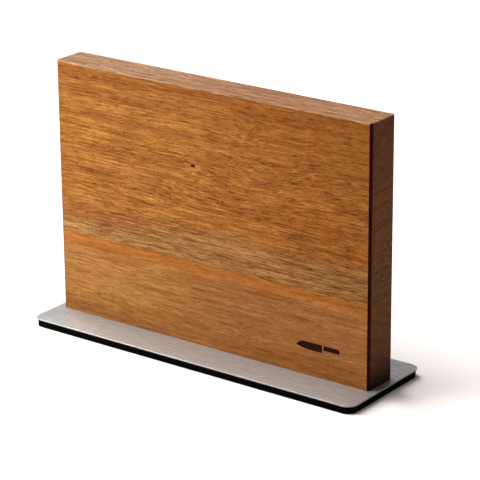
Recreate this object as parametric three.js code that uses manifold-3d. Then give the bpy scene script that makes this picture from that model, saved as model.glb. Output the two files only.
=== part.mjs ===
// Magnetic knife block: an upright acacia panel standing on a stainless steel plate with a rubber pad.
// The panel is two boards glued face to face. Each board is three staves glued edge to edge, and hides two
// rows of bar magnets behind a thin skin of wood. Screws come up through the plate into threaded inserts.
// Millimetres, +Z up. X runs along the panel, -Y is the front, and the origin is under the pad's centre.
import * as THREE from 'three';
import Module from 'manifold-3d';
import { ConvexGeometry } from 'three/addons/geometries/ConvexGeometry.js';
import { mergeVertices } from 'three/addons/utils/BufferGeometryUtils.js';

// ---- driving dimensions -------------------------------------------------------------------------------

// base; the plate runs past each end of the panel by its end margin
const PLATE_END_MARGIN = 7;
const PLATE_DEPTH = 110;
const PLATE_THICKNESS = 1.2;
const PLATE_CORNER_RADIUS = 10;
const PAD_THICKNESS = 6.8;
const PAD_INSET = 1.2;

// panel
const PANEL_WIDTH = 340;
const PANEL_HEIGHT = 238;
const LOWER_STAVE_HEIGHT = 78;
const UPPER_STAVE_HEIGHT = 52;
const CORNER_CHAMFER = 2.2;
const TOP_CHAMFER = 1;

// what one board holds, from its outer face to the glue line between the boards
const SKIN = 3;
const MAGNET_THICKNESS = 10;
const YOKE_THICKNESS = 3;
const GLUE_RELIEF = 2;

// magnets and the steel strip behind each row of them
const MAGNETS_PER_ROW = 6;
const MAGNET_LENGTH = 40;
const MAGNET_HEIGHT = 20;
const ROW_END_MARGIN = 20;
const POCKET_CLEARANCE = 0.4;

// dowels that line the two boards up
const DOWEL_DIAMETER = 8;
const DOWEL_LENGTH = 22;
const DOWEL_SPACING = 200;
const DOWEL_EDGE_DISTANCE = 14;
const DOWEL_CLEARANCE = 0.3;

// M6 button head screws, washers and inserts
const SCREW_SPACING = 250;
const SCREW_DIAMETER = 6;
const SCREW_LENGTH = 16;
const SCREW_HEAD_DIAMETER = 10.5;
const SCREW_HEAD_HEIGHT = 3.3;
const SCREW_TIP_CHAMFER = 0.8;
const SOCKET_ACROSS_FLATS = 4;
const SOCKET_DEPTH = 2.1;
const WASHER_DIAMETER = 12;
const WASHER_THICKNESS = 1.6;
const INSERT_DIAMETER = 9;
const INSERT_LENGTH = 12;
const SCREW_HOLE_CLEARANCE = 0.3;
const THREAD_CLEARANCE = 0.15;
const PAD_HOLE_CLEARANCE = 1.5;
const TIP_ROOM = 2;

// plain knife sign, sunk into the front of the lower stave
const SIGN_FROM_RIGHT_END = 52.5;
const SIGN_FROM_FOOT = 27.5;
const SIGN_DEPTH = 0.4;
const SIGN_BLADE_LENGTH = 27;
const SIGN_BLADE_HEIGHT = 7;
const SIGN_HANDLE_LENGTH = 17;
const SIGN_HANDLE_HEIGHT = 4.4;
const SIGN_GAP = 1.4;

// fineness of round shapes
const ROUND_STEPS = 40;
const CORNER_STEPS = 12;

// ---- sizes and places that follow from them -----------------------------------------------------------

const boardThickness = SKIN + MAGNET_THICKNESS + YOKE_THICKNESS + GLUE_RELIEF;
const panelThickness = 2 * boardThickness;
const plateWidth = PANEL_WIDTH + 2 * PLATE_END_MARGIN;
const plateBottom = PAD_THICKNESS;
const panelBottom = plateBottom + PLATE_THICKNESS;
const panelTop = panelBottom + PANEL_HEIGHT;
const lowerJoint = panelBottom + LOWER_STAVE_HEIGHT;
const upperJoint = panelTop - UPPER_STAVE_HEIGHT;

// each row of magnets lies along the middle of its own stave, so that no pocket crosses a glue line
const rows = [
  { name: 'upper', height: (upperJoint + panelTop) / 2 },
  { name: 'lower', height: (lowerJoint + upperJoint) / 2 },
];
const rowLength = PANEL_WIDTH - 2 * ROW_END_MARGIN;
const magnetPitch = (rowLength - MAGNET_LENGTH) / (MAGNETS_PER_ROW - 1);
const magnetCentres = Array.from(
  { length: MAGNETS_PER_ROW },
  (_, i) => (MAGNET_LENGTH - rowLength) / 2 + i * magnetPitch,
);

// the front board is on the -Y side and the rear board on the +Y side
const boards = [
  { name: 'front', side: -1 },
  { name: 'rear', side: 1 },
];
const staves = [
  { name: 'lower', from: panelBottom, to: lowerJoint },
  { name: 'middle', from: lowerJoint, to: upperJoint },
  { name: 'upper', from: upperJoint, to: panelTop },
];

const dowelPlaces = [
  { name: 'lower_left', x: -DOWEL_SPACING / 2, z: lowerJoint - DOWEL_EDGE_DISTANCE },
  { name: 'lower_right', x: DOWEL_SPACING / 2, z: lowerJoint - DOWEL_EDGE_DISTANCE },
  { name: 'upper_left', x: -DOWEL_SPACING / 2, z: upperJoint - DOWEL_EDGE_DISTANCE },
  { name: 'upper_right', x: DOWEL_SPACING / 2, z: upperJoint - DOWEL_EDGE_DISTANCE },
];

// one screw under the middle of each board's thickness, at the left and at the right
const screwPlaces = boards.flatMap((board) => [
  { name: `${board.name}_left`, x: -SCREW_SPACING / 2, y: (board.side * boardThickness) / 2 },
  { name: `${board.name}_right`, x: SCREW_SPACING / 2, y: (board.side * boardThickness) / 2 },
]);
const washerBottom = plateBottom - WASHER_THICKNESS;
const screwTip = washerBottom + SCREW_LENGTH;

// ---- solids -------------------------------------------------------------------------------------------

const wasm = await Module();
wasm.setup();

// a closed geometry as a solid that can be cut and joined
function solidOf(geometry) {
  const bare = geometry.clone();
  bare.deleteAttribute('normal');
  bare.deleteAttribute('uv');
  const merged = mergeVertices(bare, 1e-4);
  return new wasm.Manifold(new wasm.Mesh({
    numProp: 3,
    vertProperties: new Float32Array(merged.attributes.position.array),
    triVerts: new Uint32Array(merged.index.array),
  }));
}

function geometryOf(solid) {
  const mesh = solid.getMesh();
  const geometry = new THREE.BufferGeometry();
  geometry.setAttribute('position', new THREE.BufferAttribute(mesh.vertProperties, 3));
  geometry.setIndex(new THREE.BufferAttribute(mesh.triVerts, 1));
  geometry.computeVertexNormals();
  return geometry;
}

function box(width, depth, height, x, y, z) {
  return solidOf(new THREE.BoxGeometry(width, depth, height).translate(x, y, z));
}

// a block whose upright corners carry one 45 degree chamfer and whose two long top edges carry another; the
// foot and the short top edges stay square. Each corner gives the outline of those faces to the hull.
function panelBlank(width, depth, bottom, top, cornerChamfer, topChamfer) {
  const points = [];
  for (const sx of [-1, 1]) {
    for (const sy of [-1, 1]) {
      const add = (inwardX, inwardY, z) => {
        points.push(new THREE.Vector3(sx * (width / 2 - inwardX), sy * (depth / 2 - inwardY), z));
      };
      add(0, cornerChamfer, bottom);
      add(0, cornerChamfer, top);
      add(cornerChamfer, 0, bottom);
      add(cornerChamfer, 0, top - topChamfer);
      add(cornerChamfer - topChamfer, topChamfer, top);
    }
  }
  return solidOf(new ConvexGeometry(points));
}

function uprightCylinder(diameter, bottom, top, x, y) {
  const geometry = new THREE.CylinderGeometry(diameter / 2, diameter / 2, top - bottom, ROUND_STEPS);
  return geometry.rotateX(Math.PI / 2).translate(x, y, (bottom + top) / 2);
}

function levelCylinder(diameter, length, x, z) {
  const geometry = new THREE.CylinderGeometry(diameter / 2, diameter / 2, length, ROUND_STEPS);
  return geometry.translate(x, 0, z);
}

// a slab with round corners, standing on z = bottom
function roundedSlab(width, depth, radius, bottom, thickness) {
  const [x, y] = [width / 2, depth / 2];
  const outline = new THREE.Shape();
  outline.absarc(x - radius, y - radius, radius, 0, Math.PI / 2);
  outline.absarc(radius - x, y - radius, radius, Math.PI / 2, Math.PI);
  outline.absarc(radius - x, radius - y, radius, Math.PI, 1.5 * Math.PI);
  outline.absarc(x - radius, radius - y, radius, 1.5 * Math.PI, 2 * Math.PI);
  const geometry = new THREE.ExtrudeGeometry(outline, {
    depth: thickness,
    bevelEnabled: false,
    curveSegments: CORNER_STEPS,
  });
  return solidOf(geometry.translate(0, 0, bottom));
}

// a ring or a turned piece: the profile is [radius, height] pairs and is spun about the upright axis
function turned(profile) {
  const points = profile.map(([radius, height]) => new THREE.Vector2(radius, height));
  return new THREE.LatheGeometry(points, ROUND_STEPS).rotateX(Math.PI / 2);
}

// ---- the pieces ---------------------------------------------------------------------------------------

function woodMaterial(color) {
  return new THREE.MeshStandardMaterial({ color, roughness: 0.55, metalness: 0 });
}

function metalMaterial(color, roughness) {
  return new THREE.MeshStandardMaterial({ color, roughness, metalness: 1 });
}

const block = new THREE.Group();

function addPiece(name, geometry, material, x = 0, y = 0, z = 0) {
  const mesh = new THREE.Mesh(geometry, material);
  mesh.name = name;
  mesh.position.set(x, y, z);
  block.add(mesh);
}

function makePad() {
  const [width, depth] = [plateWidth - 2 * PAD_INSET, PLATE_DEPTH - 2 * PAD_INSET];
  let pad = roundedSlab(width, depth, PLATE_CORNER_RADIUS - PAD_INSET, 0, PAD_THICKNESS);
  for (const { x, y } of screwPlaces) {
    const hole = WASHER_DIAMETER + 2 * PAD_HOLE_CLEARANCE;
    pad = pad.subtract(solidOf(uprightCylinder(hole, -1, PAD_THICKNESS + 1, x, y)));
  }
  const rubber = new THREE.MeshStandardMaterial({ color: 0x0b0b0c, roughness: 0.8, metalness: 0 });
  addPiece('base_pad', geometryOf(pad), rubber);
}

function makePlate() {
  let plate = roundedSlab(plateWidth, PLATE_DEPTH, PLATE_CORNER_RADIUS, plateBottom, PLATE_THICKNESS);
  for (const { x, y } of screwPlaces) {
    const hole = SCREW_DIAMETER + 2 * SCREW_HOLE_CLEARANCE;
    plate = plate.subtract(solidOf(uprightCylinder(hole, plateBottom - 1, panelBottom + 1, x, y)));
  }
  addPiece('base_plate', geometryOf(plate), metalMaterial(0xb3aca6, 0.35));
}

// the knife sign as two flat outlines seen from the front: a blade pointing left and a handle behind it
function signOutlines() {
  const handleEnd = (SIGN_BLADE_LENGTH + SIGN_GAP + SIGN_HANDLE_LENGTH) / 2;
  const handleStart = handleEnd - SIGN_HANDLE_LENGTH;
  const bladeHeel = handleStart - SIGN_GAP;
  const tip = bladeHeel - SIGN_BLADE_LENGTH;
  const spine = SIGN_BLADE_HEIGHT / 2;
  const blade = new THREE.Shape();
  blade.moveTo(bladeHeel, spine);
  blade.lineTo(tip + SIGN_BLADE_LENGTH / 3, spine);
  blade.quadraticCurveTo(tip + SIGN_BLADE_LENGTH / 9, spine, tip, -spine / 3);
  blade.quadraticCurveTo(tip + SIGN_BLADE_LENGTH / 4, -spine, tip + SIGN_BLADE_LENGTH / 2, -spine);
  blade.lineTo(bladeHeel, -spine);
  const radius = SIGN_HANDLE_HEIGHT / 2;
  const middle = spine - radius;
  const handle = new THREE.Shape();
  handle.moveTo(handleStart, spine);
  handle.lineTo(handleStart, spine - SIGN_HANDLE_HEIGHT);
  handle.lineTo(handleEnd - radius, spine - SIGN_HANDLE_HEIGHT);
  handle.absarc(handleEnd - radius, middle, radius, -Math.PI / 2, Math.PI / 2);
  return [blade, handle];
}

function signCutter() {
  const [x, z] = [PANEL_WIDTH / 2 - SIGN_FROM_RIGHT_END, panelBottom + SIGN_FROM_FOOT];
  const depth = 2 * SIGN_DEPTH;
  const [blade, handle] = signOutlines().map((outline) => {
    const geometry = new THREE.ExtrudeGeometry(outline, {
      depth,
      bevelEnabled: false,
      curveSegments: CORNER_STEPS,
    });
    return solidOf(geometry.rotateX(Math.PI / 2).translate(x, SIGN_DEPTH - boardThickness, z));
  });
  return blade.add(handle);
}

// what is milled and drilled into one board from its inner face and from its foot
function boardCutters(side) {
  const cutters = [];
  const pocketHeight = MAGNET_HEIGHT + 2 * POCKET_CLEARANCE;
  const pocketDepth = boardThickness - SKIN;
  const grooveDepth = YOKE_THICKNESS + GLUE_RELIEF;
  for (const row of rows) {
    const grooveLength = rowLength + 2 * POCKET_CLEARANCE;
    cutters.push(box(grooveLength, 2 * grooveDepth, pocketHeight, 0, 0, row.height));
    for (const x of magnetCentres) {
      const pocketLength = MAGNET_LENGTH + 2 * POCKET_CLEARANCE;
      cutters.push(box(pocketLength, pocketDepth, pocketHeight, x, (side * pocketDepth) / 2, row.height));
    }
  }
  for (const { x, z } of dowelPlaces) {
    const hole = DOWEL_DIAMETER + 2 * DOWEL_CLEARANCE;
    cutters.push(solidOf(levelCylinder(hole, DOWEL_LENGTH + 2 * DOWEL_CLEARANCE, x, z)));
  }
  for (const { x, y } of screwPlaces) {
    const hole = INSERT_DIAMETER + 2 * SCREW_HOLE_CLEARANCE;
    cutters.push(solidOf(uprightCylinder(hole, panelBottom - 1, screwTip + TIP_ROOM, x, y)));
  }
  return cutters;
}

function makeStaves() {
  const panel = panelBlank(PANEL_WIDTH, panelThickness, panelBottom, panelTop, CORNER_CHAMFER, TOP_CHAMFER);
  const colours = { lower: 0xa96f3a, middle: 0xa87038, upper: 0xa56a33 };
  for (const board of boards) {
    const cutters = boardCutters(board.side);
    const y = (board.side * boardThickness) / 2;
    for (const stave of staves) {
      const [height, centre] = [stave.to - stave.from, (stave.from + stave.to) / 2];
      const blank = box(2 * PANEL_WIDTH, boardThickness, height, 0, y, centre);
      let wood = panel.intersect(blank);
      for (const cutter of cutters) {
        wood = wood.subtract(cutter);
      }
      if (board.name === 'front' && stave.name === 'lower') {
        wood = wood.subtract(signCutter());
      }
      addPiece(`${board.name}_stave_${stave.name}`, geometryOf(wood), woodMaterial(colours[stave.name]));
    }
  }
}

function makeMagnetRows() {
  const ferrite = new THREE.MeshStandardMaterial({ color: 0x2c2d30, roughness: 0.6, metalness: 0.2 });
  for (const { name: board, side } of boards) {
    const magnetY = side * (boardThickness - SKIN - MAGNET_THICKNESS / 2);
    const yokeY = side * (GLUE_RELIEF + YOKE_THICKNESS / 2);
    for (const row of rows) {
      magnetCentres.forEach((x, i) => {
        const magnet = new THREE.BoxGeometry(MAGNET_LENGTH, MAGNET_THICKNESS, MAGNET_HEIGHT);
        addPiece(`${board}_${row.name}_magnet_${i + 1}`, magnet, ferrite, x, magnetY, row.height);
      });
      const yoke = new THREE.BoxGeometry(rowLength, YOKE_THICKNESS, MAGNET_HEIGHT);
      addPiece(`${board}_${row.name}_yoke`, yoke, metalMaterial(0x8f9195, 0.5), 0, yokeY, row.height);
    }
  }
}

function makeDowels() {
  const dowel = levelCylinder(DOWEL_DIAMETER, DOWEL_LENGTH, 0, 0);
  for (const { name, x, z } of dowelPlaces) {
    addPiece(`dowel_${name}`, dowel, woodMaterial(0xc9a77a), x, 0, z);
  }
}

// button head with a hexagon socket; the head's rim rests on the washer at height 0 and the shank points up
function screwGeometry() {
  const [shank, head] = [SCREW_DIAMETER / 2, SCREW_HEAD_DIAMETER / 2];
  const crown = head * 0.55;
  const dome = new THREE.QuadraticBezierCurve(
    new THREE.Vector2(crown, -SCREW_HEAD_HEIGHT),
    new THREE.Vector2(head * 0.97, -SCREW_HEAD_HEIGHT * 0.8),
    new THREE.Vector2(head, 0),
  ).getPoints(6).map((point) => [point.x, point.y]);
  const body = turned([
    [0, -SCREW_HEAD_HEIGHT],
    ...dome,
    [shank, 0],
    [shank, SCREW_LENGTH - SCREW_TIP_CHAMFER],
    [shank - SCREW_TIP_CHAMFER, SCREW_LENGTH],
    [0, SCREW_LENGTH],
  ]);
  const cornerRadius = SOCKET_ACROSS_FLATS / Math.sqrt(3);
  const socket = new THREE.CylinderGeometry(cornerRadius, cornerRadius, 2 * SOCKET_DEPTH, 6)
    .rotateX(Math.PI / 2)
    .translate(0, 0, -SCREW_HEAD_HEIGHT);
  return geometryOf(solidOf(body).subtract(solidOf(socket)));
}

function ringGeometry(outer, inner, thickness) {
  return turned([[inner, 0], [outer, 0], [outer, thickness], [inner, thickness], [inner, 0]]);
}

function makeFixings() {
  const screw = screwGeometry();
  const washerBore = SCREW_DIAMETER / 2 + SCREW_HOLE_CLEARANCE;
  const insertBore = SCREW_DIAMETER / 2 + THREAD_CLEARANCE;
  const washer = ringGeometry(WASHER_DIAMETER / 2, washerBore, WASHER_THICKNESS);
  const insert = ringGeometry(INSERT_DIAMETER / 2, insertBore, INSERT_LENGTH);
  const brass = metalMaterial(0xb5924c, 0.4);
  for (const { name, x, y } of screwPlaces) {
    addPiece(`screw_${name}`, screw, metalMaterial(0xa9a9aa, 0.3), x, y, washerBottom);
    addPiece(`washer_${name}`, washer, metalMaterial(0xb2b2b3, 0.35), x, y, washerBottom);
    addPiece(`insert_${name}`, insert, brass, x, y, panelBottom);
  }
}

makePad();
makePlate();
makeStaves();
makeMagnetRows();
makeDowels();
makeFixings();

export default block;
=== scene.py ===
# A magnetic knife block: an upright acacia panel on a satin steel plate with a black rubber pad under it.
import math

import bmesh
import bpy
import numpy as np
from mathutils import Matrix, Vector
from mathutils.geometry import delaunay_2d_cdt


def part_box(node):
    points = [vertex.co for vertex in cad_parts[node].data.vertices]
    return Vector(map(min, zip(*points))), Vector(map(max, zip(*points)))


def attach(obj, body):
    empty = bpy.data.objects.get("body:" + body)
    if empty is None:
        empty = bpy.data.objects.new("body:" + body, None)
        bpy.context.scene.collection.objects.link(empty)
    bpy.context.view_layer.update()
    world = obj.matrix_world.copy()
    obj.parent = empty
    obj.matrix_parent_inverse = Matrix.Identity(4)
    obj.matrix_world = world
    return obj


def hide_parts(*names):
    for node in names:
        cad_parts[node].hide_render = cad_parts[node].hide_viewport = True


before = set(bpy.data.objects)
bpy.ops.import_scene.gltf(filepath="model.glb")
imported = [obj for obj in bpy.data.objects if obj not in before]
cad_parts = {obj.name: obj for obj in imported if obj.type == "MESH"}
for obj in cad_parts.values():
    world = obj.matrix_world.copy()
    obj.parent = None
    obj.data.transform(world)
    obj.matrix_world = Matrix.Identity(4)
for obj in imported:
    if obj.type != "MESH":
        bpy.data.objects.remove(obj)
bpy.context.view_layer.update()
millimetre = 0.001

# ---- The studio ----------------------------------------------------------------------------------------
# A white sweep lit by one broad soft light high on the left, a smaller one near the front left corner and
# the pale room, which is dimmer behind and to the right. The camera stands to the right of the block, a
# little above it, with a long lens.


def look_from(position, azimuth, elevation, roll):
    """The camera's matrix: forward is azimuth degrees from +Y towards -X and elevation degrees down; up is
    turned about forward by roll degrees."""
    az, el, r = (math.radians(a) for a in (azimuth, elevation, roll))
    forward = Vector((-math.sin(az) * math.cos(el), math.cos(az) * math.cos(el), -math.sin(el)))
    level = forward.cross(Vector((0, 0, 1))).normalized()
    upright = level.cross(forward)
    right = math.cos(r) * level + math.sin(r) * upright
    up = math.cos(r) * upright - math.sin(r) * level
    turn = Matrix((right, up, -forward)).transposed().to_4x4()
    return Matrix.Translation(position) @ turn


camera = bpy.data.objects.new("camera", bpy.data.cameras.new("camera"))
bpy.context.scene.collection.objects.link(camera)
bpy.context.scene.camera = camera
camera.data.sensor_width = 36
camera.data.lens = 175.9
camera.data.clip_end = 50
camera.matrix_world = look_from(Vector((1.1774, -1.5520, 0.8076)), 36.68, 19.85, -0.43)

bpy.context.scene.view_settings.view_transform = "Standard"


def add_light(name, kind, position, target, energy, colour, **shape):
    """A lamp at position that faces target."""
    lamp = bpy.data.lights.new(name, kind)
    lamp.energy = energy
    lamp.color = colour
    for key, value in shape.items():
        setattr(lamp, key, value)
    holder = bpy.data.objects.new(name, lamp)
    bpy.context.scene.collection.objects.link(holder)
    holder.location = position
    holder.rotation_mode = "QUATERNION"
    holder.rotation_quaternion = (Vector(target) - Vector(position)).to_track_quat("-Z", "Y")


soft_sky = math.radians(58)
sky_white, lamp_white = (1.0, 0.985, 0.96), (1.0, 0.98, 0.95)
softbox = {"size": 0.3, "specular_factor": 0.2}
add_light("high_left_sky", "SUN", (-1.16, -0.26, 1.65), (0, 0, 0), 5.15, sky_white, angle=soft_sky)
add_light("near_left_softbox", "AREA", (-0.46, -0.42, 0.32), (-0.05, 0, 0.12), 3.0, lamp_white, **softbox)

room = bpy.data.worlds.new("room")
bpy.context.scene.world = room
room.use_nodes = True
air = room.node_tree
air.nodes.clear()
room_out = air.nodes.new("ShaderNodeOutputWorld")

# how bright the room is in a direction: from the least to the most along the way to its bright side
towards = air.nodes.new("ShaderNodeTexCoord")
bright_side = air.nodes.new("ShaderNodeVectorMath")
bright_side.operation = "DOT_PRODUCT"
air.links.new(towards.outputs["Generated"], bright_side.inputs[0])
bright_side.inputs[1].default_value = (-0.40, -0.82, 0.41)
strength = air.nodes.new("ShaderNodeMapRange")
for socket, value in zip(("From Min", "From Max", "To Min", "To Max"), (-1.0, 1.0, 0.12, 0.48)):
    strength.inputs[socket].default_value = value
air.links.new(bright_side.outputs["Value"], strength.inputs["Value"])

# the room as the camera sees it, as mirrored surfaces see it, and as it lights the rest, a little warmer
rooms = {}
for sort, tone in (("seen", (1, 1, 1, 1)), ("mirrored", (1, 1, 1, 1)), ("lighting", (1.0, 0.81, 0.77, 1))):
    rooms[sort] = air.nodes.new("ShaderNodeBackground")
    rooms[sort].inputs["Color"].default_value = tone
    if sort != "seen":
        air.links.new(strength.outputs["Result"], rooms[sort].inputs["Strength"])
ray = air.nodes.new("ShaderNodeLightPath")
indirect = air.nodes.new("ShaderNodeMixShader")
air.links.new(ray.outputs["Is Glossy Ray"], indirect.inputs[0])
air.links.new(rooms["lighting"].outputs[0], indirect.inputs[1])
air.links.new(rooms["mirrored"].outputs[0], indirect.inputs[2])
which = air.nodes.new("ShaderNodeMixShader")
air.links.new(ray.outputs["Is Camera Ray"], which.inputs[0])
air.links.new(indirect.outputs[0], which.inputs[1])
air.links.new(rooms["seen"].outputs[0], which.inputs[2])
air.links.new(which.outputs[0], room_out.inputs["Surface"])


def new_material(name):
    """A material with one Principled shader; gives the material, its tree and the shader."""
    material = bpy.data.materials.new(name)
    material.use_nodes = True
    tree = material.node_tree
    return material, tree, tree.nodes["Principled BSDF"]


floor_paint, _, paint_shader = new_material("floor_paint")
paint_shader.inputs["Base Color"].default_value = (0.82, 0.82, 0.82, 1)
paint_shader.inputs["Roughness"].default_value = 0.9
paint_shader.inputs["Specular IOR Level"].default_value = 0.1

floor_half = 6.0
floor_mesh = bpy.data.meshes.new("floor")
corners = np.array([(-1, -1, 0), (1, -1, 0), (1, 1, 0), (-1, 1, 0)]) * floor_half
floor_mesh.from_pydata(corners.tolist(), [], [(0, 1, 2, 3)])
floor_mesh.materials.append(floor_paint)
floor = bpy.data.objects.new("floor", floor_mesh)
bpy.context.scene.collection.objects.link(floor)

# ---- The panel's staves --------------------------------------------------------------------------------
# Six staves of oiled acacia, planed and edge-glued three to a board, the two boards glued face to face.
# Each is milled for its magnets from the inside; the chamfered edges are eased with fine paper.

plate_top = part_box("base_plate")[1].z
arris_radius = 0.3 * millimetre


def node_copy(name, node):
    """A copy of a CAD node as a new object, its loose triangles merged and its flat faces made whole."""
    mesh = bpy.data.meshes.new(name)
    work = bmesh.new()
    work.from_mesh(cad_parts[node].data)
    bmesh.ops.remove_doubles(work, verts=work.verts, dist=1e-6)
    bmesh.ops.dissolve_limit(work, angle_limit=math.radians(1), verts=work.verts, edges=work.edges)
    work.to_mesh(mesh)
    work.free()
    piece = bpy.data.objects.new(name, mesh)
    bpy.context.scene.collection.objects.link(piece)
    return piece


def group(name, inputs, outputs):
    """An empty shader node group with those sockets; gives its tree, its input node and its output node."""
    tree = bpy.data.node_groups.new(name, "ShaderNodeTree")
    for socket, kind, value in inputs:
        made = tree.interface.new_socket(name=socket, in_out="INPUT", socket_type="NodeSocket" + kind)
        if value is not None:
            made.default_value = value
    for socket, kind in outputs:
        tree.interface.new_socket(name=socket, in_out="OUTPUT", socket_type="NodeSocket" + kind)
    return tree, tree.nodes.new("NodeGroupInput").outputs, tree.nodes.new("NodeGroupOutput").inputs


def feed(tree, socket, source):
    """Links a node's socket to source, or sets it to source when that is a plain value."""
    if isinstance(source, bpy.types.NodeSocket):
        tree.links.new(source, socket)
    else:
        socket.default_value = source


def placed(tree, made, **values):
    """Puts the group made into tree and feeds its inputs, named with _ for a space; gives its outputs."""
    node = tree.nodes.new("ShaderNodeGroup")
    node.node_tree = made
    for name, value in values.items():
        feed(tree, node.inputs[name.replace("_", " ")], value)
    return node.outputs


def calc(tree, operation, a, b=0.0, c=0.0):
    """One Math node; gives its result."""
    node = tree.nodes.new("ShaderNodeMath")
    node.operation = operation
    for socket, source in zip(node.inputs, (a, b, c)):
        feed(tree, socket, source)
    return node.outputs[0]


def spread(tree, value, low, high, to_low=0.0, to_high=1.0):
    """value mapped from low..high to to_low..to_high along a smooth step."""
    node = tree.nodes.new("ShaderNodeMapRange")
    node.interpolation_type = "SMOOTHSTEP"
    for socket, source in zip(node.inputs, (value, low, high, to_low, to_high)):
        feed(tree, socket, source)
    return node.outputs["Result"]


def tint(tree, share, a, b, way="MIX"):
    """Colour a with b laid over it by share."""
    node = tree.nodes.new("ShaderNodeMix")
    node.data_type = "RGBA"
    node.blend_type = way
    for socket, source in zip((node.inputs["Factor"], node.inputs[6], node.inputs[7]), (share, a, b)):
        feed(tree, socket, (*source, 1) if isinstance(source, tuple) and len(source) == 3 else source)
    return node.outputs[2]


def noise(tree, vector, detail=2.0, roughness=0.5):
    """Noise of scale 1 on vector, whose length scale is set before."""
    node = tree.nodes.new("ShaderNodeTexNoise")
    node.inputs["Scale"].default_value = 1.0
    node.inputs["Detail"].default_value = detail
    node.inputs["Roughness"].default_value = roughness
    feed(tree, node.inputs["Vector"], vector)
    return node.outputs["Fac"]


def stretched(tree, vector, x, y, z, shift=0.0):
    """vector measured in units of x, y and z metres, and moved by shift to another place in the pattern."""
    node = tree.nodes.new("ShaderNodeMapping")
    feed(tree, node.inputs["Vector"], vector)
    node.inputs["Scale"].default_value = (1 / x, 1 / y, 1 / z)
    node.inputs["Location"].default_value = (shift, shift * 0.37, -shift * 0.71)
    return node.outputs[0]


def axes(tree, vector):
    """The X, Y and Z of a vector."""
    node = tree.nodes.new("ShaderNodeSeparateXYZ")
    feed(tree, node.inputs[0], vector)
    return node.outputs


def vector_of(tree, x, y, z):
    """A vector with those three parts."""
    node = tree.nodes.new("ShaderNodeCombineXYZ")
    for socket, source in zip(node.inputs, (x, y, z)):
        feed(tree, socket, source)
    return node.outputs[0]


def along_trunk(tree, place, length, width, shift, detail=2.0, roughness=0.5):
    """Noise drawn out along X, as wood's fibres are: about length metres long and width metres thick."""
    return noise(tree, stretched(tree, place, length, width, width, shift), detail, roughness)


def bump_from(tree, shader, height, distance, strength):
    """Sends height to the shader's normal as a fine relief of that distance in metres."""
    relief = tree.nodes.new("ShaderNodeBump")
    relief.inputs["Distance"].default_value = distance
    relief.inputs["Strength"].default_value = strength
    tree.links.new(height, relief.inputs["Height"])
    tree.links.new(relief.outputs[0], shader.inputs["Normal"])


# Acacia's figure runs through the whole stave, so every face shows its own cut of it: X is along the
# trunk, growth rings lie round a pith outside the stave, and pores are thin tubes along X.
figure, asked, given = group(
    "acacia_figure",
    [("Place", "Vector", None), ("Pith depth", "Float", 0.0), ("Pith height", "Float", -0.1)],
    [(name, "Float") for name in ("Rings", "Ribbons", "Streaks", "Fibres", "Dashes", "Pores", "Clouds")],
)
slow_wave = along_trunk(figure, asked["Place"], 0.16, 0.06, 3.0, 1.0)
quick_wave = along_trunk(figure, asked["Place"], 0.022, 0.014, 11.0, 1.0)
lift = calc(figure, "MULTIPLY", calc(figure, "SUBTRACT", slow_wave, 0.5), 0.016)
lift = calc(figure, "MULTIPLY_ADD", calc(figure, "SUBTRACT", quick_wave, 0.5), 0.0011, lift)
at = axes(figure, asked["Place"])
depth = calc(figure, "ADD", at["Y"], lift)
height = calc(figure, "ADD", at["Z"], lift)
grain = vector_of(figure, at["X"], depth, height)
from_pith = calc(
    figure,
    "SQRT",
    calc(
        figure,
        "ADD",
        calc(figure, "POWER", calc(figure, "SUBTRACT", depth, asked["Pith depth"]), 2.0),
        calc(figure, "POWER", calc(figure, "SUBTRACT", height, asked["Pith height"]), 2.0),
    ),
)
rings_per_metre = 260.0
from_pith = calc(figure, "MULTIPLY", from_pith, rings_per_metre)
yearly = vector_of(figure, calc(figure, "MULTIPLY", at["X"], 1.2), from_pith, 0.0)
figure.links.new(noise(figure, yearly, 2.5, 0.55), given["Rings"])
figure.links.new(along_trunk(figure, grain, 0.24, 0.0055, 5.0, 1.0), given["Ribbons"])
figure.links.new(along_trunk(figure, grain, 0.080, 0.0017, 9.0, 2.0, 0.65), given["Streaks"])
figure.links.new(along_trunk(figure, grain, 0.026, 0.0008, 13.0, 3.0, 0.75), given["Fibres"])
figure.links.new(along_trunk(figure, grain, 0.0095, 0.0007, 17.0, 1.0), given["Dashes"])
figure.links.new(along_trunk(figure, grain, 0.0024, 0.0003, 21.0, 1.0), given["Pores"])
figure.links.new(along_trunk(figure, grain, 0.05, 0.016, 25.0, 2.0), given["Clouds"])

# A mark with soft sides: 1 inside the stretch Low..High of a value, fading out over Fade at both ends.
stretch, asked, given = group(
    "soft_stretch",
    [("Value", "Float", 0.0), ("Low", "Float", 0.0), ("High", "Float", 1.0), ("Fade", "Float", 0.1)],
    [("Share", "Float")],
)
into = calc(stretch, "DIVIDE", calc(stretch, "SUBTRACT", asked["Value"], asked["Low"]), asked["Fade"])
out_of = calc(stretch, "DIVIDE", calc(stretch, "SUBTRACT", asked["High"], asked["Value"]), asked["Fade"])
nearer = calc(stretch, "MINIMUM", into, out_of)
stretch.links.new(spread(stretch, nearer, -1.0, 1.0), given["Share"])


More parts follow.
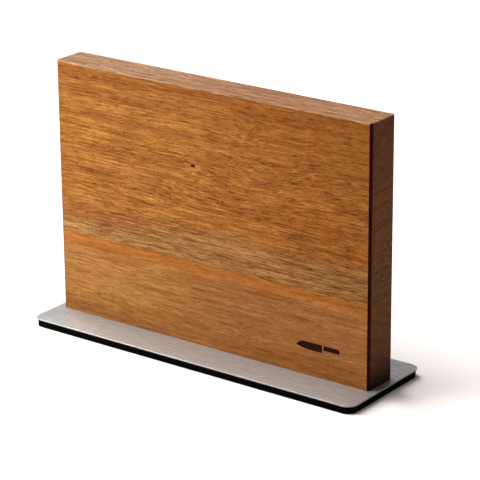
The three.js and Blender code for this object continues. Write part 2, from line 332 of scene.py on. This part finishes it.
def acacia(name, pith, ground, patches, depth_of_figure, end_tone, knot=None):
    """Oiled acacia. pith is the growth rings' centre (Y, Z) in metres. ground is its two ground tones.
    patches is a list of (X low, X high, fade, height low, height high, fade, tone, share), with heights
    above the plate. depth_of_figure scales the streaks. end_tone darkens the end grain, and towards the foot
    the end grain is darkened further to near black as painted shade. knot is a pin knot's centre."""
    material, tree, shader = new_material(name)
    place = tree.nodes.new("ShaderNodeTexCoord").outputs["Object"]
    cut = placed(tree, figure, Place=place, Pith_depth=pith[0], Pith_height=pith[1])
    at = axes(tree, place)
    clouds = calc(tree, "SUBTRACT", cut["Clouds"], 0.5)
    ribbons = calc(tree, "SUBTRACT", cut["Ribbons"], 0.5)
    up = calc(tree, "SUBTRACT", at["Z"], plate_top)
    ragged = calc(tree, "MULTIPLY_ADD", clouds, 0.016, up)
    ragged = calc(tree, "MULTIPLY_ADD", ribbons, 0.010, ragged)
    colour = tint(tree, spread(tree, cut["Clouds"], 0.3, 0.7), ground[0], ground[1])
    for left, right, x_fade, low, high, z_fade, tone, share in patches:
        level = ragged if z_fade > millimetre else up
        in_height = placed(tree, stretch, Value=level, Low=low, High=high, Fade=z_fade)["Share"]
        in_length = placed(tree, stretch, Value=at["X"], Low=left, High=right, Fade=x_fade)["Share"]
        covered = calc(tree, "MULTIPLY", calc(tree, "MULTIPLY", in_height, in_length), share)
        colour = tint(tree, covered, colour, tone)
    # every layer of figure darkens the ground towards a redder brown, or lifts it a little towards straw
    for layer, low, high, tone, share in (
        ("Ribbons", 0.42, 0.66, (0.70, 0.58, 0.44), 0.50),
        ("Rings", 0.40, 0.66, (0.78, 0.68, 0.58), 0.35),
        ("Streaks", 0.47, 0.66, (0.58, 0.46, 0.30), 0.70),
        ("Fibres", 0.47, 0.64, (0.46, 0.34, 0.22), 0.90),
        ("Dashes", 0.56, 0.68, (0.44, 0.30, 0.21), 0.85),
        ("Pores", 0.56, 0.68, (0.46, 0.34, 0.24), 0.95),
        ("Fibres", 0.48, 0.32, (1.42, 1.46, 1.50), 1.00),
        ("Streaks", 0.45, 0.30, (1.22, 1.24, 1.26), 0.80),
    ):
        dark = calc(tree, "MULTIPLY", spread(tree, cut[layer], low, high), share * depth_of_figure)
        colour = tint(tree, dark, colour, tone, "MULTIPLY")
    if knot:
        # 1 at the knot's rim, which is frayed by the fibres; a brown halo fades out beyond it
        away = stretched(tree, place, 2.6 * millimetre, 3.5 * millimetre, 1.3 * millimetre)
        aim = away.node.inputs["Location"]
        aim.default_value = [-k * s for k, s in zip(knot, away.node.inputs["Scale"].default_value)]
        length = tree.nodes.new("ShaderNodeVectorMath")
        length.operation = "LENGTH"
        tree.links.new(away, length.inputs[0])
        frayed = calc(tree, "SUBTRACT", cut["Fibres"], 0.5)
        reach = calc(tree, "MULTIPLY_ADD", frayed, 0.9, length.outputs["Value"])
        colour = tint(tree, spread(tree, reach, 2.6, 1.0, 0.0, 0.45), colour, (0.25, 0.09, 0.03))
        colour = tint(tree, spread(tree, reach, 1.15, 0.75), colour, (0.014, 0.0015, 0.0008))
    marks = {}
    for mark in ("end_grain", "dark_chamfer", "branded"):
        marks[mark] = tree.nodes.new("ShaderNodeAttribute")
        marks[mark].attribute_name = mark
    bands = spread(tree, cut["Rings"], 0.42, 0.60, 1.06, 0.84)
    # the end grain's own darker tone, darkened towards the foot to near black: painted shade within 40 mm of
    # the plate
    end_grain_and_foot_shade = tint(tree, spread(tree, up, 0.0, 0.040), (0.07, 0.03, 0.008), end_tone)
    end_grain_and_foot_shade = tint(tree, 1.0, colour, end_grain_and_foot_shade, "MULTIPLY")
    ringed = tree.nodes.new("ShaderNodeVectorMath")
    ringed.operation = "SCALE"
    tree.links.new(end_grain_and_foot_shade, ringed.inputs[0])
    tree.links.new(bands, ringed.inputs["Scale"])
    colour = tint(tree, marks["end_grain"].outputs["Fac"], colour, ringed.outputs[0])
    # the upright chamfers are coloured near black red
    colour = tint(tree, marks["dark_chamfer"].outputs["Fac"], colour, (0.018, 0.0005, 0.0001))
    colour = tint(tree, marks["branded"].outputs["Fac"], colour, (0.014, 0.0015, 0.001))
    tree.links.new(colour, shader.inputs["Base Color"])
    tree.links.new(spread(tree, cut["Streaks"], 0.3, 0.8, 0.46, 0.60), shader.inputs["Roughness"])
    shader.inputs["Specular IOR Level"].default_value = 0.04
    sunk = calc(tree, "MULTIPLY", spread(tree, cut["Pores"], 0.56, 0.7), -1.0)
    sunk = calc(tree, "MULTIPLY_ADD", cut["Fibres"], -0.6, sunk)
    bump_from(tree, shader, sunk, 0.2 * millimetre, 0.3)
    return material


everywhere = (-0.5, 0.5, 0.1)
# the patches that pale the left end and darken and redden the right end are partly the boards' own tone and
# partly painted shade, standing in for the light that falls off from the left towards the right
stave_woods = {
    "lower": acacia(
        "acacia_lower",
        (-0.05, -0.09),
        ((0.322, 0.146, 0.040), (0.279, 0.119, 0.032)),
        [
            (*everywhere, 0.067, 0.090, 0.003, (0.325, 0.120, 0.0210), 0.85),
            (-0.01, 0.5, 0.06, 0.02, 0.066, 0.006, (0.258, 0.108, 0.033), 0.8),
            (-0.5, -0.06, 0.05, 0.02, 0.060, 0.006, (0.345, 0.168, 0.048), 0.7),
            (0.02, 0.5, 0.06, -0.02, 0.018, 0.004, (0.233, 0.0816, 0.0189), 0.6),
        ],
        0.62,
        (0.43, 0.35, 0.22),
    ),
    "middle": acacia(
        "acacia_middle",
        (0.0, 0.02),
        ((0.355, 0.162, 0.0350), (0.309, 0.131, 0.0275)),
        [
            (-0.5, 0.0, 0.06, 0.070, 0.094, 0.005, (0.322, 0.180, 0.068), 0.85),
            (-0.06, 0.5, 0.06, 0.070, 0.110, 0.008, (0.303, 0.158, 0.056), 0.85),
            (-0.5, -0.05, 0.04, 0.094, 0.110, 0.004, (0.26, 0.104, 0.031), 0.65),
            (0.10, 0.5, 0.05, 0.070, 0.108, 0.006, (0.232, 0.114, 0.038), 0.7),
            (0.04, 0.5, 0.12, 0.105, 0.30, 0.010, (0.264, 0.0920, 0.0130), 0.65),
            (-0.5, -0.02, 0.08, 0.172, 0.190, 0.005, (0.365, 0.166, 0.0310), 0.7),
            # a pale spot just below the pin knot
            (-0.0125, -0.0085, 0.0015, 0.1652, 0.1685, 0.0009, (0.47, 0.24, 0.13), 0.55),
        ],
        1.0,
        (0.47, 0.40, 0.31),
        knot=(-0.0157, -0.018, 0.1752),
    ),
    "upper": acacia(
        "acacia_upper",
        (0.08, 0.13),
        ((0.351, 0.158, 0.0330), (0.304, 0.129, 0.0265)),
        [
            (*everywhere, 0.222, 0.30, 0.006, (0.26, 0.093, 0.0160), 0.50),
            (0.04, 0.5, 0.12, 0.10, 0.30, 0.010, (0.222, 0.073, 0.0090), 0.65),
            # the top face and its thin chamfers, paler than the sides and palest towards the left: partly
            # their own tone, partly a painted sheen on the top and a painted highlight on the chamfers
            (*everywhere, 0.2370, 0.30, 0.0003, (0.350, 0.210, 0.126), 0.92),
            (-0.5, -0.04, 0.10, 0.2370, 0.30, 0.0003, (0.415, 0.275, 0.185), 0.7),
        ],
        0.86,
        (0.43, 0.35, 0.28),
    ),
}


# how far behind the panel's face the burnt sign's own faces lie, and how far above its foot
sign_shallowest, sign_deepest = 0.02 * millimetre, 1.0 * millimetre
sign_lowest, sign_highest = 5 * millimetre, 60 * millimetre


def mark_faces(piece):
    """Writes on the faces end_grain (1 where the face looks along X), a mark for the upright chamfers (1 on
    them, where they look between X and Y; it colours them near black red) and branded (1 on the burnt sign's
    floor and walls)."""
    mesh = piece.data
    count = len(mesh.polygons)
    normals = np.empty(count * 3, np.float32)
    centres = np.empty(count * 3, np.float32)
    mesh.polygons.foreach_get("normal", normals)
    mesh.polygons.foreach_get("center", centres)
    normals = np.abs(normals.reshape(-1, 3))
    centres = centres.reshape(-1, 3)
    behind = centres[:, 1] - panel_front
    up = centres[:, 2] - plate_top
    away_from_ends = np.abs(centres[:, 0]) < panel_right - sign_lowest  # its chamfers are further out
    inside_height = (up > sign_lowest) & (up < sign_highest)
    sunk = (behind > sign_shallowest) & (behind < sign_deepest)
    marks = {
        "end_grain": np.clip((normals[:, 0] - 0.8) / 0.15, 0, 1),
        "dark_chamfer": (normals[:, 0] > 0.5) & (normals[:, 1] > 0.3) & (normals[:, 0] < 0.95),
        "branded": sunk & away_from_ends & inside_height,
    }
    marks["end_grain"] = marks["end_grain"] * (1 - marks["branded"])
    marks["dark_chamfer"] = marks["dark_chamfer"] * (1 - marks["branded"])
    for name, values in marks.items():
        mesh.attributes.new(name, "FLOAT", "FACE").data.foreach_set("value", values.astype(np.float32))


def ease_arrises(piece):
    """Rounds the chamfers' own edges, which are those whose faces turn by 30 to 62 degrees."""
    mesh = piece.data
    work = bmesh.new()
    work.from_mesh(mesh)
    weight = work.edges.layers.float.new("bevel_weight_edge")
    for edge in work.edges:
        turn = math.degrees(edge.calc_face_angle(0.0))
        low_end = min(v.co.y for v in edge.verts) - panel_front
        in_sign = 0.0 < low_end < sign_deepest
        edge[weight] = 1.0 if 30 < turn < 62 and not in_sign else 0.0
    work.to_mesh(mesh)
    work.free()
    bevel = piece.modifiers.new("eased", "BEVEL")
    bevel.limit_method = "WEIGHT"
    bevel.width = arris_radius
    bevel.segments = 2


panel_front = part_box("front_stave_lower")[0].y
panel_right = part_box("front_stave_lower")[1].x
for node in sorted(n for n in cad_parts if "_stave_" in n):
    stave = node_copy("wood_" + node, node)
    mark_faces(stave)
    ease_arrises(stave)
    stave.data.materials.clear()
    stave.data.materials.append(stave_woods[node.rsplit("_", 1)[1]])
    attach(stave, "root")
    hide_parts(node)

# ---- The steel plate -----------------------------------------------------------------------------------
# One piece of 1.2 mm stainless sheet, cut with round corners, its top brushed along the panel's length
# and its edge broken with a fine file. Four screws come up through it into the panel.


def rounded_outline(low, high, corner, inset, steps):
    """A rectangle's outline with round corners, drawn in by inset: corner arcs of steps + 1 points, each
    the arc's centre plus its radius times the cosine and sine of the angle."""
    quarter = np.linspace(0, math.pi / 2, steps + 1)
    angles = (quarter[None, :] + np.arange(4)[:, None] * math.pi / 2).ravel()
    side = np.sign(np.array([(1, 1), (-1, 1), (-1, -1), (1, -1)])).repeat(steps + 1, axis=0)
    middle = (np.array(low[:2]) + np.array(high[:2])) / 2
    reach = (np.array(high[:2]) - np.array(low[:2])) / 2 - corner
    centres = middle + side * reach
    return centres + (corner - inset) * np.stack([np.cos(angles), np.sin(angles)], axis=1)


def circle_outline(centre, radius, steps):
    """steps points round a circle."""
    angles = np.arange(steps) * 2 * math.pi / steps
    return np.array(centre[:2]) + radius * np.stack([np.cos(angles), np.sin(angles)], axis=1)


def walls(outlines, levels):
    """Rings of points, each outline at its level, and the quads between one ring and the next."""
    rings = np.array([np.column_stack([o, np.full(len(o), z)]) for o, z in zip(outlines, levels)])
    count, around = rings.shape[:2]
    i, j = np.meshgrid(np.arange(count - 1), np.arange(around), indexing="ij")
    k = (j + 1) % around
    quads = np.stack([i * around + j, i * around + k, (i + 1) * around + k, (i + 1) * around + j], axis=-1)
    return rings.reshape(-1, 3), quads.reshape(-1, 4).tolist()


def flat_face(outline, holes, level):
    """The flat region inside outline and outside the round holes, at one level, as a constrained Delaunay
    net. A triangle is in a hole when its middle is nearer the hole's centre than the hole's flats are."""
    if not holes:
        return np.column_stack([outline, np.full(len(outline), level)]), [list(range(len(outline)))]
    points, edges = [], []
    for loop in (outline, *holes):
        start = len(points)
        points += [Vector(p) for p in loop]
        edges += [(start + i, start + (i + 1) % len(loop)) for i in range(len(loop))]
    net = delaunay_2d_cdt(points, edges, [], 1, 1e-9)
    flat = np.array([tuple(p) for p in net[0]])
    faces = np.array([list(f) for f in net[2]])
    middles = flat[faces].mean(axis=1)
    solid = np.ones(len(faces), bool)
    for hole in holes:
        centre = hole.mean(axis=0)
        to_flats = np.linalg.norm((hole[0] + hole[1]) / 2 - centre)
        solid &= np.linalg.norm(middles - centre, axis=1) >= to_flats
    return np.column_stack([flat, np.full(len(flat), level)]), faces[solid].tolist()


def put_together(name, parts, material, nodes, axis=None, smooth=35):
    """Joins (points, faces) parts into one closed piece with its doubles merged and its faces outward, and
    rides it on the block. Its UV map is in metres: U along Y and V along X, or for a turned piece U the
    distance from its upright axis and V the height. upright is 1 on the faces that stand up."""
    points, faces = [], []
    for part_points, part_faces in parts:
        start = sum(len(p) for p in points)
        points.append(part_points)
        faces += [[start + v for v in f] for f in part_faces]
    mesh = bpy.data.meshes.new(name)
    mesh.from_pydata(np.concatenate(points).tolist(), [], faces)
    work = bmesh.new()
    work.from_mesh(mesh)
    bmesh.ops.remove_doubles(work, verts=work.verts, dist=1e-6)
    bmesh.ops.dissolve_degenerate(work, edges=work.edges, dist=1e-7)
    bmesh.ops.recalc_face_normals(work, faces=work.faces)
    work.to_mesh(mesh)
    work.free()
    corner_vertex = np.empty(len(mesh.loops), np.int32)
    mesh.loops.foreach_get("vertex_index", corner_vertex)
    places = np.empty(len(mesh.vertices) * 3, np.float32)
    mesh.vertices.foreach_get("co", places)
    corners = places.reshape(-1, 3)[corner_vertex]
    spots = corners[:, [1, 0]]
    if axis is not None:
        from_axis = np.hypot(corners[:, 0] - axis[0], corners[:, 1] - axis[1])
        spots = np.stack([from_axis, corners[:, 2]], axis=1)
    normals = np.empty(len(mesh.polygons) * 3, np.float32)
    mesh.polygons.foreach_get("normal", normals)
    upright = np.clip((0.9 - np.abs(normals[2::3])) / 0.3, 0, 1)
    mesh.attributes.new("upright", "FLOAT", "FACE").data.foreach_set("value", upright)
    mesh.uv_layers.new(name="plan").data.foreach_set("uv", spots.astype(np.float32).ravel())
    mesh.shade_smooth()
    mesh.set_sharp_from_angle(angle=math.radians(smooth))
    mesh.materials.append(material)
    piece = bpy.data.objects.new(name, mesh)
    bpy.context.scene.collection.objects.link(piece)
    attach(piece, "root")
    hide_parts(*nodes)
    return piece


bore_steps = 48


def slab(low, high, corner, broken, holes=(), steps=12):
    """A slab with rounded corners in plan and its top and bottom edges broken to a quarter round, and
    (centre, radius) holes straight through it."""
    turn = np.linspace(0, math.pi / 2, 5)
    insets = np.concatenate([broken * (1 - np.sin(turn)), broken * (1 - np.cos(turn))])
    levels = np.concatenate([low[2] + broken * (1 - np.cos(turn)), high[2] - broken * (1 - np.sin(turn))])
    outlines = [rounded_outline(low, high, corner, inset, steps) for inset in insets]
    bores = [circle_outline(centre, radius, bore_steps) for centre, radius in holes]
    parts = [walls(outlines, levels)]
    parts += [walls([bore, bore], [low[2], high[2]]) for bore in bores]
    parts += [flat_face(outlines[0], bores, low[2]), flat_face(outlines[-1], bores, high[2])]
    return parts


# Fine parallel lines that a brush, a rolling mill or a saw leaves, along X of Place.
drawn_lines, asked, given = group(
    "drawn_lines",
    [("Place", "Vector", None)],
    [("Fine", "Float"), ("Broad", "Float")],
)
fine_lines = stretched(drawn_lines, asked["Place"], 0.018, 0.00030, 0.00030, 2.0)
broad_lines = stretched(drawn_lines, asked["Place"], 0.090, 0.0030, 0.0030, 6.0)
drawn_lines.links.new(noise(drawn_lines, fine_lines, 2.0), given["Fine"])
drawn_lines.links.new(noise(drawn_lines, broad_lines, 2.0), given["Broad"])

steel, tree, shader = new_material("satin_steel")
place = tree.nodes.new("ShaderNodeTexCoord").outputs["Object"]
lines = placed(tree, drawn_lines, Place=place)
sheet = tint(tree, spread(tree, lines["Fine"], 0.3, 0.7), (0.415, 0.415, 0.415), (0.465, 0.465, 0.465))
sheet = tint(tree, spread(tree, lines["Broad"], 0.3, 0.7, 0.0, 0.20), sheet, (0.41, 0.415, 0.42))
# a few longer scratches cross the brushed lines
crossing = noise(tree, stretched(tree, place, 0.0011, 0.035, 0.0011, 4.0), 2.0, 0.6)
sheet = tint(tree, spread(tree, crossing, 0.40, 0.70, 0.0, 0.40), sheet, (0.370, 0.370, 0.370))
cut_edge = tree.nodes.new("ShaderNodeAttribute")
cut_edge.attribute_name = "upright"
sheet = tint(tree, cut_edge.outputs["Fac"], sheet, (0.20, 0.195, 0.19))
tree.links.new(sheet, shader.inputs["Base Color"])
# the fine scratches scatter part of the light as a plain grey does, so the sheet is only partly a mirror
shader.inputs["Metallic"].default_value = 0.62
tree.links.new(spread(tree, lines["Fine"], 0.25, 0.75, 0.26, 0.30), shader.inputs["Roughness"])
shader.inputs["Anisotropic"].default_value = 0.6
across_lines = tree.nodes.new("ShaderNodeTangent")
across_lines.direction_type = "UV_MAP"
across_lines.uv_map = "plan"
tree.links.new(across_lines.outputs[0], shader.inputs["Tangent"])
bump_from(tree, shader, lines["Fine"], 0.01 * millimetre, 0.2)

screws = sorted(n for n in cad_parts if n.startswith("screw_"))


def middle_of(node):
    """The middle of a CAD node's box, halfway between its corners."""
    low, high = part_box(node)
    return (low + high) / 2


plate_low, plate_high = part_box("base_plate")
plate_corner = 10.0 * millimetre
plate_bore = 3.3 * millimetre
plate_edge = 0.35 * millimetre
put_together(
    "steel_plate",
    slab(plate_low, plate_high, plate_corner, plate_edge, [(middle_of(s), plate_bore) for s in screws]),
    steel,
    ["base_plate"],
)

# ---- The rubber pad ------------------------------------------------------------------------------------
# A sheet of dense black rubber bonded under the plate, a little smaller than it all round. It is punched
# clear round the screw heads, and its sawn edge and foot have a fine matt grain.

# A matt grain: fine pits with slower, broader unevenness over them.
matt_grain, asked, given = group(
    "matt_grain",
    [("Place", "Vector", None), ("Size", "Float", 0.0004)],
    [("Fine", "Float"), ("Slow", "Float")],
)
per_size = matt_grain.nodes.new("ShaderNodeVectorMath")
per_size.operation = "SCALE"
matt_grain.links.new(asked["Place"], per_size.inputs[0])
matt_grain.links.new(calc(matt_grain, "DIVIDE", 1.0, asked["Size"]), per_size.inputs["Scale"])
slower = stretched(matt_grain, per_size.outputs[0], 14, 14, 14, 4.0)
matt_grain.links.new(noise(matt_grain, per_size.outputs[0], 2.0, 0.6), given["Fine"])
matt_grain.links.new(noise(matt_grain, slower, 2.0), given["Slow"])

rubber, tree, shader = new_material("black_rubber")
place = tree.nodes.new("ShaderNodeTexCoord").outputs["Object"]
grains = placed(tree, matt_grain, Place=place, Size=0.0005)
black = tint(tree, grains["Fine"], (0.0005, 0.0005, 0.0005), (0.0018, 0.0017, 0.0016))
tree.links.new(black, shader.inputs["Base Color"])
tree.links.new(spread(tree, grains["Slow"], 0.3, 0.7, 0.62, 0.78), shader.inputs["Roughness"])
shader.inputs["Specular IOR Level"].default_value = 0.01
bump_from(tree, shader, grains["Fine"], 0.1 * millimetre, 0.5)

pad_low, pad_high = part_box("base_pad")
pad_corner = plate_corner - (pad_low.x - plate_low.x)
pad_bore = 7.5 * millimetre
pad_edge = 0.5 * millimetre
put_together(
    "rubber_pad",
    slab(pad_low, pad_high, pad_corner, pad_edge, [(middle_of(s), pad_bore) for s in screws]),
    rubber,
    ["base_pad"],
)

# ---- The bar magnets -----------------------------------------------------------------------------------
# Twenty-four bars of sintered ferrite, six to a row, glued in pockets behind a thin skin of wood. They are
# pressed and fired, so they are near black and matt, and only their broad faces are ground.

ferrite, tree, shader = new_material("ferrite")
place = tree.nodes.new("ShaderNodeTexCoord").outputs["Object"]
grains = placed(tree, matt_grain, Place=place, Size=0.00025)
ground_by = placed(tree, drawn_lines, Place=place)
fired = tint(tree, spread(tree, grains["Fine"], 0.3, 0.7), (0.016, 0.015, 0.016), (0.036, 0.034, 0.036))
fired = tint(tree, spread(tree, grains["Slow"], 0.5, 0.8, 0.0, 0.5), fired, (0.050, 0.045, 0.043))
tree.links.new(fired, shader.inputs["Base Color"])
tree.links.new(spread(tree, ground_by["Fine"], 0.3, 0.7, 0.48, 0.66), shader.inputs["Roughness"])
bump_from(tree, shader, grains["Fine"], 0.05 * millimetre, 0.5)

magnet_corner = 0.6 * millimetre
magnet_edge = 0.4 * millimetre
for node in sorted(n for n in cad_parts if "_magnet_" in n):
    low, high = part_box(node)
    bar = slab(low, high, magnet_corner, magnet_edge, steps=4)
    put_together("ferrite_" + node, bar, ferrite, [node])

# ---- The magnets' yokes --------------------------------------------------------------------------------
# A strip of cold rolled mild steel behind each row of magnets, sheared to length. It closes their field at
# the back, so that the pull is all at the panel's face.

mild_steel, tree, shader = new_material("mild_steel")
place = tree.nodes.new("ShaderNodeTexCoord").outputs["Object"]
rolled = placed(tree, drawn_lines, Place=place)
grains = placed(tree, matt_grain, Place=place, Size=0.0008)
strip = tint(tree, spread(tree, rolled["Broad"], 0.3, 0.7), (0.30, 0.305, 0.31), (0.42, 0.42, 0.425))
strip = tint(tree, spread(tree, grains["Slow"], 0.55, 0.75, 0.0, 0.4), strip, (0.24, 0.21, 0.19))
tree.links.new(strip, shader.inputs["Base Color"])
shader.inputs["Metallic"].default_value = 1.0
tree.links.new(spread(tree, rolled["Fine"], 0.3, 0.7, 0.34, 0.50), shader.inputs["Roughness"])
bump_from(tree, shader, rolled["Fine"], 0.01 * millimetre, 0.4)

yoke_edge = 0.25 * millimetre
for node in sorted(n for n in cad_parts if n.endswith("_yoke")):
    low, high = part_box(node)
    sheared = slab(low, high, 2 * yoke_edge, yoke_edge, steps=4)
    put_together("strip_" + node, sheared, mild_steel, [node])

# ---- The dowels ----------------------------------------------------------------------------------------
# Four fluted beech dowels, 8 mm thick, that line the two boards up while the glue sets. Their ends are
# chamfered, and the flutes let the glue out.


def round_form(axis, radii, levels, along_y=False):
    """A surface round an axis: radii and levels are grids of one row per level and one column per step
    round. A point is the axis plus its radius times the cosine and sine of its angle. A row of zero radius
    is a pole. The axis is upright, or lies along Y."""
    rows, steps = radii.shape
    angles = np.arange(steps) * 2 * math.pi / steps
    across, over = radii * np.cos(angles), radii * np.sin(angles)
    if along_y:
        points = np.stack([axis[0] + across, levels, axis[2] - over], axis=-1)
    else:
        points = np.stack([axis[0] + across, axis[1] + over, levels], axis=-1)
    i, j = np.meshgrid(np.arange(rows - 1), np.arange(steps), indexing="ij")
    k = (j + 1) % steps
    quads = np.stack([i * steps + j, i * steps + k, (i + 1) * steps + k, (i + 1) * steps + j], axis=-1)
    return points.reshape(-1, 3), quads.reshape(-1, 4).tolist()


beech, tree, shader = new_material("beech")
place = tree.nodes.new("ShaderNodeTexCoord").outputs["Object"]
fibres = noise(tree, stretched(tree, place, 0.0006, 0.012, 0.0006, 4.0), 3.0, 0.6)
flecks = noise(tree, stretched(tree, place, 0.00035, 0.0018, 0.00035, 8.0), 1.0)
pale = tint(tree, spread(tree, fibres, 0.3, 0.7), (0.60, 0.40, 0.245), (0.49, 0.305, 0.175))
pale = tint(tree, spread(tree, flecks, 0.60, 0.70, 0.0, 0.7), pale, (0.26, 0.135, 0.070))
tree.links.new(pale, shader.inputs["Base Color"])
tree.links.new(spread(tree, fibres, 0.3, 0.7, 0.55, 0.70), shader.inputs["Roughness"])
shader.inputs["Specular IOR Level"].default_value = 0.3
bump_from(tree, shader, fibres, 0.05 * millimetre, 0.4)

flutes = 16
flute_depth = 0.35 * millimetre
dowel_chamfer = 1.0 * millimetre
round_steps = 96
for node in sorted(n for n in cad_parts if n.startswith("dowel_")):
    low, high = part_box(node)
    radius = (high.x - low.x) / 2
    levels = np.array([0, 0, dowel_chamfer, 3 * dowel_chamfer, -3 * dowel_chamfer, -dowel_chamfer, 0, 0])
    levels += np.array([low.y] * 4 + [high.y] * 4)
    reach = np.array([0, radius - dowel_chamfer, radius, radius, radius, radius, radius - dowel_chamfer, 0])
    sunk = np.array([0, 0.2, 1, 1, 1, 1, 0.2, 0]) * flute_depth
    wave = 0.5 + 0.5 * np.cos(np.arange(round_steps) * 2 * math.pi * flutes / round_steps)
    radii = reach[:, None] - sunk[:, None] * wave[None, :] ** 3
    form = round_form((low + high) / 2, radii, np.repeat(levels[:, None], round_steps, axis=1), along_y=True)
    put_together("fluted_" + node, [form], beech, [node])

# ---- The threaded inserts ------------------------------------------------------------------------------
# Four brass inserts with a coarse knife thread outside for the wood and M6 inside, driven up flush with
# the panel's foot.

# The fine rings that a turning tool leaves. Place holds the distance from the axis and the height.
turned_rings, asked, given = group("turned_rings", [("Place", "Vector", None)], [("Rings", "Float")])
turned_rings.links.new(
    noise(turned_rings, stretched(turned_rings, asked["Place"], 0.00012, 0.00012, 1.0, 3.0), 2.0, 0.6),
    given["Rings"],
)


def turned_metal(name, dark, light, dull, bright):
    """A turned metal whose fine rings go from dark to light and from dull to bright roughness."""
    material, tree, shader = new_material(name)
    place = tree.nodes.new("ShaderNodeTexCoord").outputs["UV"]
    rings = placed(tree, turned_rings, Place=place)["Rings"]
    tree.links.new(tint(tree, spread(tree, rings, 0.3, 0.7), dark, light), shader.inputs["Base Color"])
    shader.inputs["Metallic"].default_value = 1.0
    tree.links.new(spread(tree, rings, 0.3, 0.7, dull, bright), shader.inputs["Roughness"])
    bump_from(tree, shader, rings, 0.01 * millimetre, 0.4)
    return material


def thread(low, high, root, crest, pitch, steps, rows_per_turn=8):
    """Radii and levels of a screw thread from low to high: the radius rises from root to crest and back
    once in each pitch, and the wave climbs one pitch for each turn. It runs out to the root at its ends."""
    rows = max(3, int(round((high - low) / pitch * rows_per_turn)) + 1)
    level = np.linspace(low, high, rows)
    turn = np.arange(steps) / steps
    phase = (level[:, None] / pitch - turn[None, :]) % 1.0
    flank = np.clip(1.25 * np.abs(2 * phase - 1) - 0.12, 0, 1)
    run_out = np.clip(np.minimum(level - low, high - level) / (0.8 * pitch), 0, 1)[:, None]
    return root + (crest - root) * flank * run_out, np.repeat(level[:, None], steps, axis=1)


brass = turned_metal("brass", (0.64, 0.43, 0.17), (0.76, 0.54, 0.24), 0.36, 0.26)

thread_steps, wood_thread_rows = 36, 14
insert_root, insert_lip = 3.85 * millimetre, 0.3 * millimetre
bore_crest, bore_root = 3.12 * millimetre, 3.42 * millimetre
m6_pitch, wood_pitch = 1.0 * millimetre, 2.5 * millimetre
for node in sorted(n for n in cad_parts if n.startswith("insert_")):
    low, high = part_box(node)
    outside = (high.x - low.x) / 2
    start, end = low.z + insert_lip, high.z - insert_lip
    outer, outer_levels = thread(start, end, insert_root, outside, wood_pitch, thread_steps, wood_thread_rows)
    inner, inner_levels = thread(low.z, high.z, bore_crest, bore_root, m6_pitch, thread_steps)
    rim = np.full((1, thread_steps), insert_root - insert_lip)
    radii = np.concatenate([inner[:1], rim, outer, rim, inner[::-1]])
    foot, head = np.full((1, thread_steps), low.z), np.full((1, thread_steps), high.z)
    levels = np.concatenate([foot, foot, outer_levels, head, inner_levels[::-1]])
    form = round_form((low + high) / 2, radii, levels)
    put_together("brass_" + node, [form], brass, [node], axis=(low + high) / 2)

# ---- The washers and screws ----------------------------------------------------------------------------
# Four stainless M6 button head screws, 16 mm long, with a plain washer under each head. They go up through
# the plate into the inserts and are turned by a 4 mm hexagon key from below.

fixing = turned_metal("stainless_fixing", (0.50, 0.49, 0.48), (0.62, 0.61, 0.60), 0.38, 0.26)

washer_edge = 0.2 * millimetre
washer_bore = 3.2 * millimetre
washer_steps = 48
for node in sorted(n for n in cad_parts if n.startswith("washer_")):
    low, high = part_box(node)
    outside = (high.x - low.x) / 2
    inside = washer_bore
    reach = [inside, inside + washer_edge, outside - washer_edge, outside]
    reach += [outside, outside - washer_edge, inside + washer_edge, inside, inside]
    level = [low.z + washer_edge, low.z, low.z, low.z + washer_edge]
    level += [high.z - washer_edge, high.z, high.z, high.z - washer_edge, low.z + washer_edge]
    radii, levels = (np.repeat(np.array(v)[:, None], washer_steps, axis=1) for v in (reach, level))
    form = round_form((low + high) / 2, radii, levels)
    put_together("plain_" + node, [form], fixing, [node], axis=(low + high) / 2)

head_height = 3.3 * millimetre
socket_depth = 2.1 * millimetre
socket_half = 2.0 * millimetre
socket_lead = 0.2 * millimetre
socket_cone = 0.4 * millimetre
crown_share = 0.55
rim_height, rim_break = 0.3 * millimetre, 0.15 * millimetre
shank_root = 2.42 * millimetre
shank_crest = 2.98 * millimetre
tip_taper, tip_break = 0.8 * millimetre, 0.5 * millimetre
screw_steps = 48
for node in screws:
    low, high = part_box(node)
    head = (high.x - low.x) / 2
    angles = np.arange(screw_steps) * 2 * math.pi / screw_steps
    # the hexagon's radius at an angle is its half width over the cosine of the angle from the nearest flat
    hexagon = socket_half / np.cos((angles + math.pi / 6) % (math.pi / 3) - math.pi / 6)
    ring = np.ones(screw_steps)
    seat = low.z + head_height
    # the button is a quarter of an ellipse from the crown's flat ring round the socket out to the rim
    turn = np.linspace(0, math.pi / 2, 9)
    crown = crown_share * head
    dome_reach = crown + (head - crown) * np.sin(turn)
    dome_level = seat - rim_height - (head_height - rim_height) * np.cos(turn)
    reach = [0 * ring, hexagon, hexagon, hexagon + socket_lead]
    level = [low.z + socket_depth + socket_cone, low.z + socket_depth, low.z + socket_lead, low.z]
    reach += [r * ring for r in dome_reach] + [(head - rim_break) * ring]
    level += list(dome_level) + [seat]
    shank, shank_levels = thread(seat, high.z - tip_taper, shank_root, shank_crest, m6_pitch, screw_steps)
    radii = np.concatenate([np.array(reach), shank, [(shank_root - tip_break) * ring, 0 * ring]])
    levels = np.concatenate([np.array(level)[:, None] * ring, shank_levels, [high.z * ring, high.z * ring]])
    form = round_form((low + high) / 2, radii, levels)
    put_together("m6_" + node, [form], fixing, [node], axis=(low + high) / 2)
